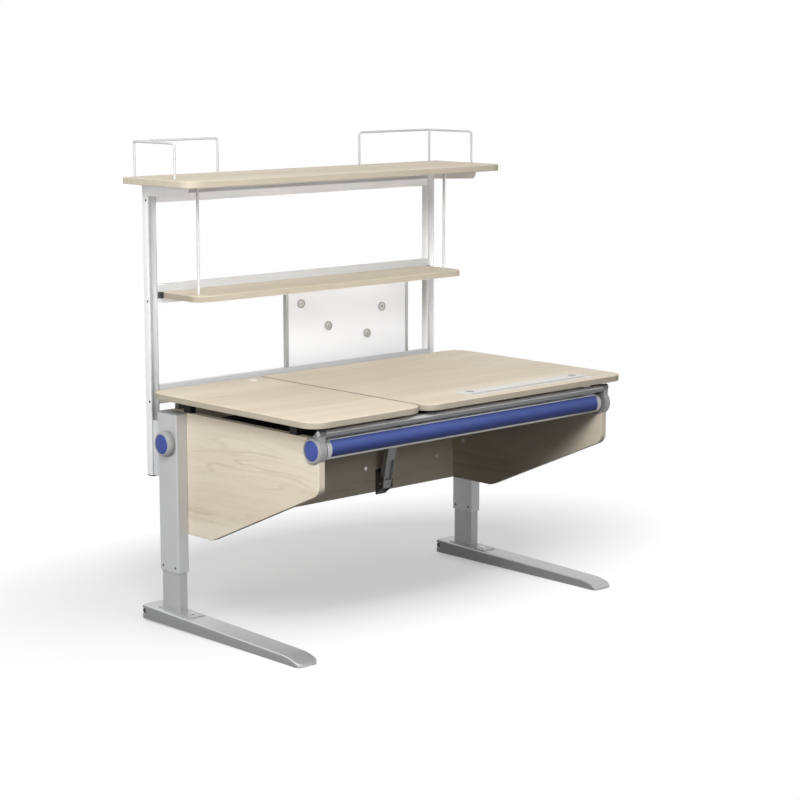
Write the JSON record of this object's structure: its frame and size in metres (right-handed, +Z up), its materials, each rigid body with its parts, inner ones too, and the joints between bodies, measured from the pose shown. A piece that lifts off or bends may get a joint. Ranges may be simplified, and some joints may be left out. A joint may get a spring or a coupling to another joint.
{
  "type": "student desk with hutch",
  "caption": "Height-adjustable student desk with a fixed left top, a tilting right top, a front drawer and a hutch with shelves, wire guards and a magnet board.",
  "frame": {"origin": "floor level, at the middle of the overall width and depth", "axes": "+X along the desk to the sitter's right, +Y from the sitter to the hutch, +Z up"},
  "size_m": [1.207, 0.78, 1.3182],
  "materials": {
    "wood_top": "fine pale maple grain, satin lacquer",
    "wood_panel": "fine pale maple grain, satin lacquer",
    "silver_metal": "satin silver coat",
    "white_metal": "smooth white coat",
    "blue_plastic": "semi-gloss blue",
    "white_plastic": "smooth pale",
    "black_plastic": "fine matt texture",
    "black_rubber": "soft matt",
    "charcoal_plastic": "fine matt texture",
    "dark_metal": "dark grey powder coat",
    "steel": "bright zinc plate",
    "clear_plastic": "clear with fine dark divisions"
  },
  "bodies": {
    "base": {"foot_left": "silver_metal", "foot_right": "silver_metal", "foot_glides": "black_rubber", "foot_end_plugs": "black_plastic", "inner_tubes": "silver_metal", "seat_screws": "steel", "inner_guides": "black_plastic"},
    "right_top": {"right_top": "wood_top", "hinge_leaves": "dark_metal", "ruler": "clear_plastic", "ruler_studs": "black_plastic", "strut_stud": "dark_metal"},
    "drawer": {"drawer_tray": "charcoal_plastic", "drawer_bar": "silver_metal", "drawer_inlay": "blue_plastic", "drawer_slides": "dark_metal"},
    "strut_tube": {"strut_tube_body": "dark_metal"},
    "strut_rod": {"strut_rod": "steel"},
    "board": {"board_panel": "white_metal", "board_edges": "white_metal", "board_hooks": "white_metal", "board_magnets": "black_plastic"},
    "knob_left": {"leg_knob_left": "silver_metal", "leg_knob_disc_left": "blue_plastic"},
    "knob_right": {"leg_knob_right": "silver_metal", "leg_knob_disc_right": "blue_plastic"},
    "desk_frame": {"back_panel": "wood_panel", "cable_cap": "white_plastic", "drawer_runners": "dark_metal", "end_discs": "blue_plastic", "end_housings": "silver_metal", "frame_screws": "steel", "front_rail": "silver_metal", "guide_bushes": "black_plastic", "hinge_brackets": "dark_metal", "hutch_carriers": "white_metal", "hutch_rail_low": "white_metal", "hutch_rail_middle": "white_metal", "hutch_rail_top": "white_metal", "knob_washers": "black_plastic", "left_top": "wood_top", "lower_shelf": "wood_top", "outer_tube_left": "silver_metal", "outer_tube_right": "silver_metal", "panel_buttons": "white_plastic", "pivot_pins": "steel", "rail_buffers": "black_rubber", "shelf_arms": "white_metal", "shelf_clips": "black_plastic", "shelf_hangers": "white_metal", "side_panel_left": "wood_panel", "side_panel_right": "wood_panel", "strut_bracket": "dark_metal", "top_frame": "dark_metal", "top_posts": "black_plastic", "top_shelf": "wood_top", "tube_caps": "black_plastic", "upright_left": "white_metal", "upright_right": "white_metal", "wire_guards": "white_metal"}
  },
  "joints": [
    {"name": "height_slide", "type": "slide", "parent": "base", "child": "desk_frame", "axis": [0, 0, 1], "range_m": [-0.09, 0.17]},
    {"name": "top_tilt", "type": "hinge", "parent": "desk_frame", "child": "right_top", "pos_m": [0.19625, 0.281, 0.616], "axis": [-1, 0, 0], "range_deg": [0, 20]},
    {"name": "strut_pivot", "type": "hinge", "parent": "desk_frame", "child": "strut_tube", "pos_m": [0.221, 0.225, 0.285], "axis": [-1, 0, 0], "range_deg": [0, 2]},
    {"name": "strut_slide", "type": "slide", "parent": "strut_tube", "child": "strut_rod", "axis": [0, -0.2072, 0.9783], "range_m": [0, 0.043]},
    {"name": "drawer_slide", "type": "slide", "parent": "desk_frame", "child": "drawer", "axis": [0, -1, 0], "range_m": [0, 0.3]},
    {"name": "board_slide", "type": "slide", "parent": "desk_frame", "child": "board", "axis": [1, 0, 0], "range_m": [-0.42, 0.065]},
    {"name": "knob_left_turn", "type": "hinge", "parent": "desk_frame", "child": "knob_left", "pos_m": [-0.584, 0.225, 0.509], "axis": [-1, 0, 0], "range_deg": [0, 360]},
    {"name": "knob_right_turn", "type": "hinge", "parent": "desk_frame", "child": "knob_right", "pos_m": [0.584, 0.225, 0.509], "axis": [1, 0, 0], "range_deg": [0, 360]}
  ],
  "couplings": [
    {"joint": "strut_pivot", "follows": "top_tilt", "ratio": 0.092},
    {"joint": "strut_slide", "follows": "top_tilt", "m_per_rad": 0.1197}
  ]
}
